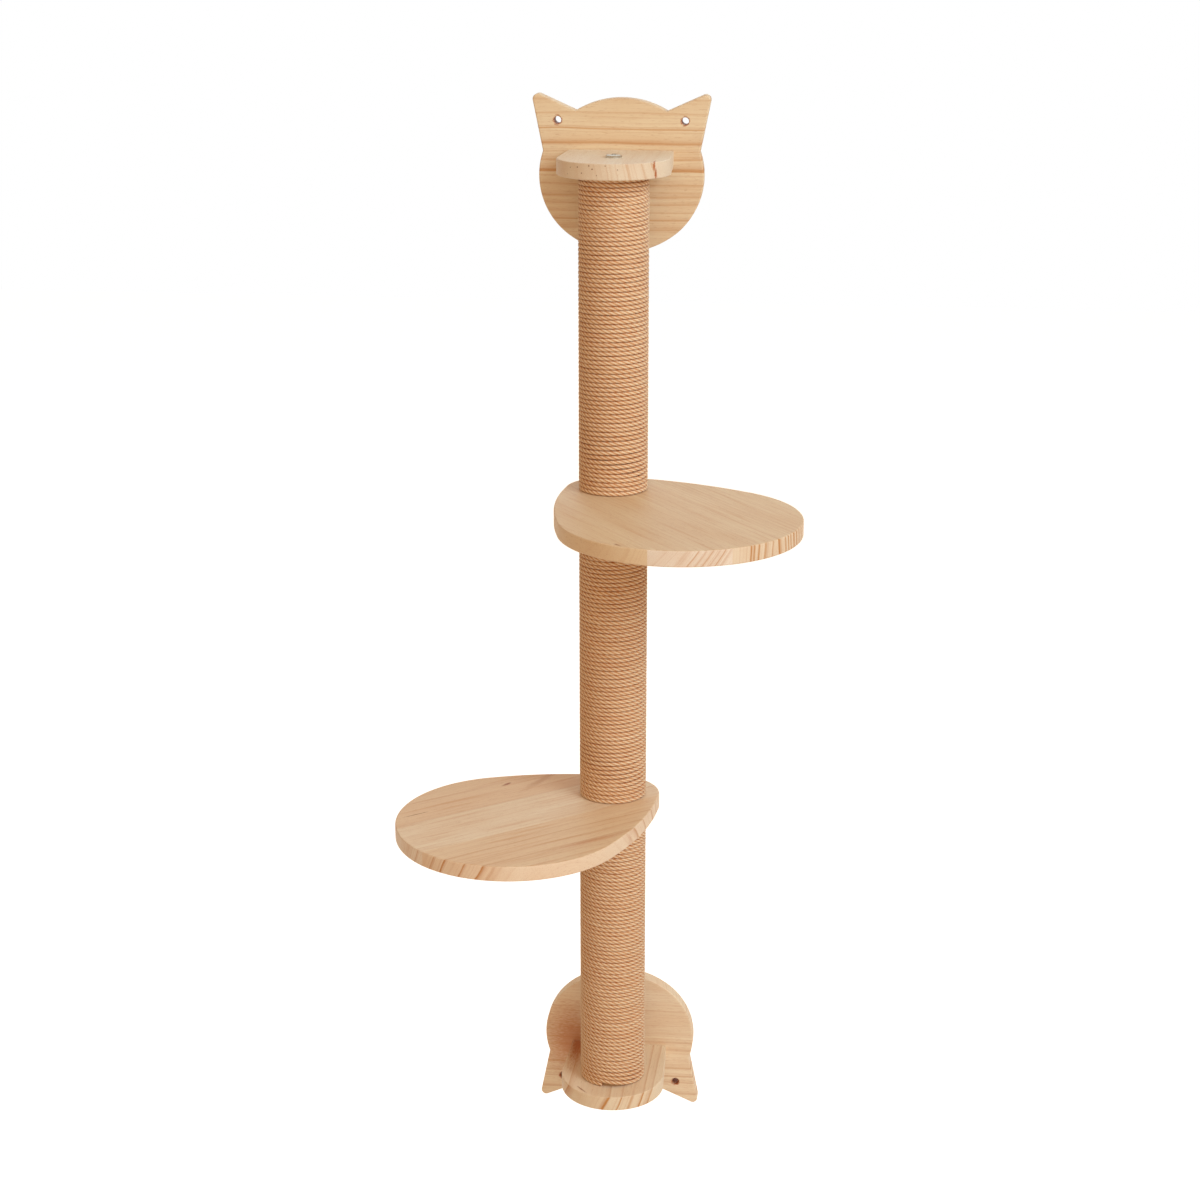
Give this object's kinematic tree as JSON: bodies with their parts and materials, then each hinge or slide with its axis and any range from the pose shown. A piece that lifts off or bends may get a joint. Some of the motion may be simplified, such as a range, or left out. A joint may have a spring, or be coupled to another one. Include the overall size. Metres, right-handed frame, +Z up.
{
  "type": "wall mounted cat tree",
  "caption": "Wall mounted cat tree: a rope-wrapped scratching column between cat-head wall plates, with egg-shaped wooden shelves that swivel about the column.",
  "frame": {"origin": "midway between the upper wall plate's two wall holes, on the plate's back face, which lies on the wall", "axes": "+Z up, along the column; +Y into the wall; +X to the right seen from the room"},
  "size_m": [0.3849, 0.2865, 1.05],
  "materials": {
    "plate_pine": "satin",
    "bracket_pine": "satin",
    "shelf_pine": "satin",
    "plug_wood": "matte",
    "jute_rope": "matte",
    "kraft_tube": "matte",
    "zinc_steel": "satin"
  },
  "bodies": {
    "column": {"upper_wall_plate": "plate_pine", "lower_wall_plate": "plate_pine", "upper_bracket": "bracket_pine", "lower_bracket": "bracket_pine", "upper_bracket_screws": "zinc_steel", "lower_bracket_screws": "zinc_steel", "upper_end_bolt": "zinc_steel", "lower_end_bolt": "zinc_steel", "upper_post_tube": "kraft_tube", "middle_post_tube": "kraft_tube", "lower_post_tube": "kraft_tube", "upper_post_top_plug": "plug_wood", "upper_post_bottom_plug": "plug_wood", "middle_post_top_plug": "plug_wood", "middle_post_bottom_plug": "plug_wood", "lower_post_top_plug": "plug_wood", "lower_post_bottom_plug": "plug_wood", "upper_post_top_insert": "zinc_steel", "upper_post_bottom_insert": "zinc_steel", "middle_post_top_insert": "zinc_steel", "middle_post_bottom_insert": "zinc_steel", "lower_post_top_insert": "zinc_steel", "lower_post_bottom_insert": "zinc_steel", "upper_rope": "jute_rope", "middle_rope": "jute_rope", "lower_rope": "jute_rope", "upper_shelf_stud": "zinc_steel", "lower_shelf_stud": "zinc_steel"},
    "upper_shelf": {"upper_shelf": "shelf_pine"},
    "lower_shelf": {"lower_shelf": "shelf_pine"}
  },
  "joints": [
    {"name": "upper_shelf_swivel", "type": "hinge", "parent": "column", "child": "upper_shelf", "pos_m": [0, -0.078, -0.3455], "axis": [0, 0, 1], "range_deg": [-108, 35]},
    {"name": "lower_shelf_swivel", "type": "hinge", "parent": "column", "child": "lower_shelf", "pos_m": [0, -0.078, -0.6565], "axis": [0, 0, 1], "range_deg": [-23.5, 119.5]}
  ]
}
